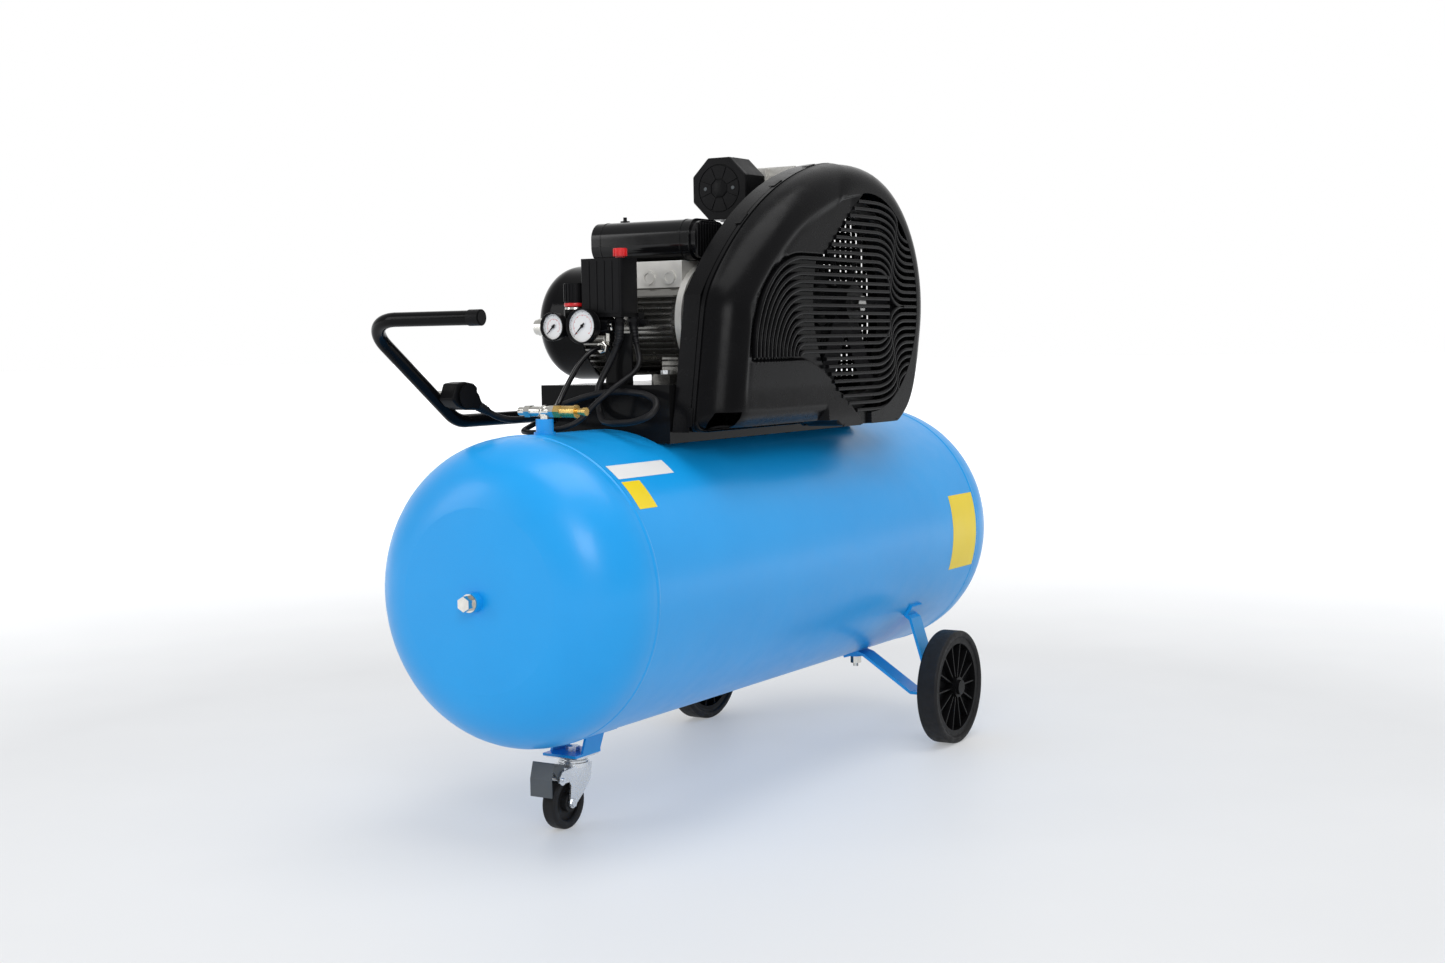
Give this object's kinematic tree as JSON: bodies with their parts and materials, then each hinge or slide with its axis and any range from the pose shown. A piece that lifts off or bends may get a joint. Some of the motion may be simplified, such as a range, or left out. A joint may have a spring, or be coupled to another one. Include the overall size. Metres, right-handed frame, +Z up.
{
  "type": "air compressor",
  "caption": "Belt-driven piston air compressor on a horizontal receiver with two wheels, a braked caster, a push handle and a mains cord.",
  "frame": {"origin": "on the floor under the middle of the box round the whole compressor", "axes": "+X along the receiver, from the handle and caster end to the big wheels; +Y away from the belt guard; +Z up"},
  "size_m": [1.4318, 0.56, 1.017],
  "materials": {
    "tank_paint": "semi-gloss powder coat",
    "black_paint": "satin powder coat",
    "guard_plastic": "fine textured moulding",
    "gloss_black": "gloss",
    "satin_plastic": "satin moulding",
    "red_plastic": "gloss",
    "aluminium": "as cast",
    "cast_iron": "painted casting",
    "steel": "machined",
    "zinc": "bright zinc plate",
    "nickel": "nickel plate",
    "brass": "turned",
    "copper": "drawn tube",
    "tyre_rubber": "matte",
    "cable_rubber": "matte",
    "belt_rubber": "matte",
    "winding": "varnished copper",
    "dial_white": "printed dial in a black case",
    "white_plastic": "moulded"
  },
  "bodies": {
    "root": {"tank_shell": "tank_paint", "tank_heads": "tank_paint", "head_plugs": "nickel", "wheel_brackets": "tank_paint", "caster_bracket": "tank_paint", "wheel_axles": "zinc", "caster_plate": "zinc", "platform": "black_paint", "mounting_bolts": "zinc", "handle_tube": "black_paint", "handle_cap": "satin_plastic", "guard_rear": "guard_plastic", "guard_front": "guard_plastic", "motor_frame": "aluminium", "motor_stator": "winding", "ball_bearings": "steel", "motor_shields": "aluminium", "fan_cowl": "black_paint", "terminal_base": "aluminium", "capacitor_box": "gloss_black", "capacitors": "white_plastic", "v_belt": "belt_rubber", "crankcase": "cast_iron", "cylinder_block": "cast_iron", "valve_plate": "steel", "cylinder_head": "aluminium", "filter_body": "satin_plastic", "filter_cover": "satin_plastic", "delivery_pipe": "copper", "check_valve": "brass", "tee_fitting": "nickel", "safety_valve": "brass", "pressure_tube": "cable_rubber", "manifold": "black_paint", "gauge_cases": "dial_white", "outlet_coupling": "nickel", "switch_base": "satin_plastic", "switch_cover": "satin_plastic", "mains_cord": "cable_rubber", "mains_plug": "satin_plastic", "motor_cable": "cable_rubber"},
    "wheel_left": {"wheel_left": "satin_plastic", "tyre_left": "tyre_rubber"},
    "wheel_right": {"wheel_right": "satin_plastic", "tyre_right": "tyre_rubber"},
    "caster_fork": {"caster_fork": "zinc"},
    "caster_wheel": {"caster_wheel": "tyre_rubber"},
    "caster_brake": {"caster_brake": "black_paint"},
    "flywheel": {"flywheel": "cast_iron", "crankshaft": "steel"},
    "motor_rotor": {"motor_rotor": "steel", "motor_fan": "satin_plastic", "motor_pulley": "cast_iron"},
    "piston_front": {"piston_front": "aluminium"},
    "piston_rear": {"piston_rear": "aluminium"},
    "regulator_knob": {"regulator_knob": "satin_plastic"},
    "needle_large": {"needle_large": "gloss_black"},
    "needle_small": {"needle_small": "gloss_black"},
    "switch_knob": {"switch_knob": "red_plastic"},
    "drain_valve": {"drain_valve": "nickel"}
  },
  "joints": [
    {"name": "wheel_left_spin", "type": "hinge", "parent": "root", "child": "wheel_left", "pos_m": [0.37006, -0.257, 0.1], "axis": [0, 1, 0], "continuous": true},
    {"name": "wheel_right_spin", "type": "hinge", "parent": "root", "child": "wheel_right", "pos_m": [0.37006, 0.257, 0.1], "axis": [0, 1, 0], "continuous": true},
    {"name": "caster_swivel", "type": "hinge", "parent": "root", "child": "caster_fork", "pos_m": [-0.41995, 0, 0.095], "axis": [0, 0, 1], "continuous": true},
    {"name": "caster_wheel_spin", "type": "hinge", "parent": "caster_fork", "child": "caster_wheel", "pos_m": [-0.44694, 0, 0.04], "axis": [0, 1, 0], "continuous": true},
    {"name": "caster_brake_press", "type": "hinge", "parent": "caster_fork", "child": "caster_brake", "pos_m": [-0.47095, 0, 0.079], "axis": [0, -1, 0], "range_deg": [0, 12]},
    {"name": "flywheel_spin", "type": "hinge", "parent": "root", "child": "flywheel", "pos_m": [0.14505, -0.172, 0.778], "axis": [0, 1, 0], "continuous": true},
    {"name": "motor_spin", "type": "hinge", "parent": "root", "child": "motor_rotor", "pos_m": [-0.14494, -0.172, 0.752], "axis": [0, 1, 0], "continuous": true},
    {"name": "piston_front_stroke", "type": "slide", "parent": "root", "child": "piston_front", "axis": [0, 0, 1], "range_m": [-0.022, 0.022]},
    {"name": "piston_rear_stroke", "type": "slide", "parent": "root", "child": "piston_rear", "axis": [0, 0, 1], "range_m": [-0.022, 0.022]},
    {"name": "regulator_turn", "type": "hinge", "parent": "root", "child": "regulator_knob", "pos_m": [-0.30295, 0.062, 0.79], "axis": [0, 0, 1], "range_deg": [-720, 720]},
    {"name": "needle_large_swing", "type": "hinge", "parent": "root", "child": "needle_large", "pos_m": [-0.33494, 0.028, 0.745], "axis": [1, 0, 0], "range_deg": [0, 270]},
    {"name": "needle_small_swing", "type": "hinge", "parent": "root", "child": "needle_small", "pos_m": [-0.33494, 0.082, 0.745], "axis": [1, 0, 0], "range_deg": [0, 270]},
    {"name": "switch_knob_pull", "type": "slide", "parent": "root", "child": "switch_knob", "axis": [0, 0, 1], "range_m": [0, 0.006]},
    {"name": "drain_screw_turn", "type": "hinge", "parent": "root", "child": "drain_valve", "pos_m": [0.41306, -0.048, 0.125], "axis": [0, 0, -1], "range_deg": [0, 720]}
  ],
  "couplings": [
    {"joint": "motor_spin", "follows": "flywheel_spin", "ratio": 2.5294}
  ]
}
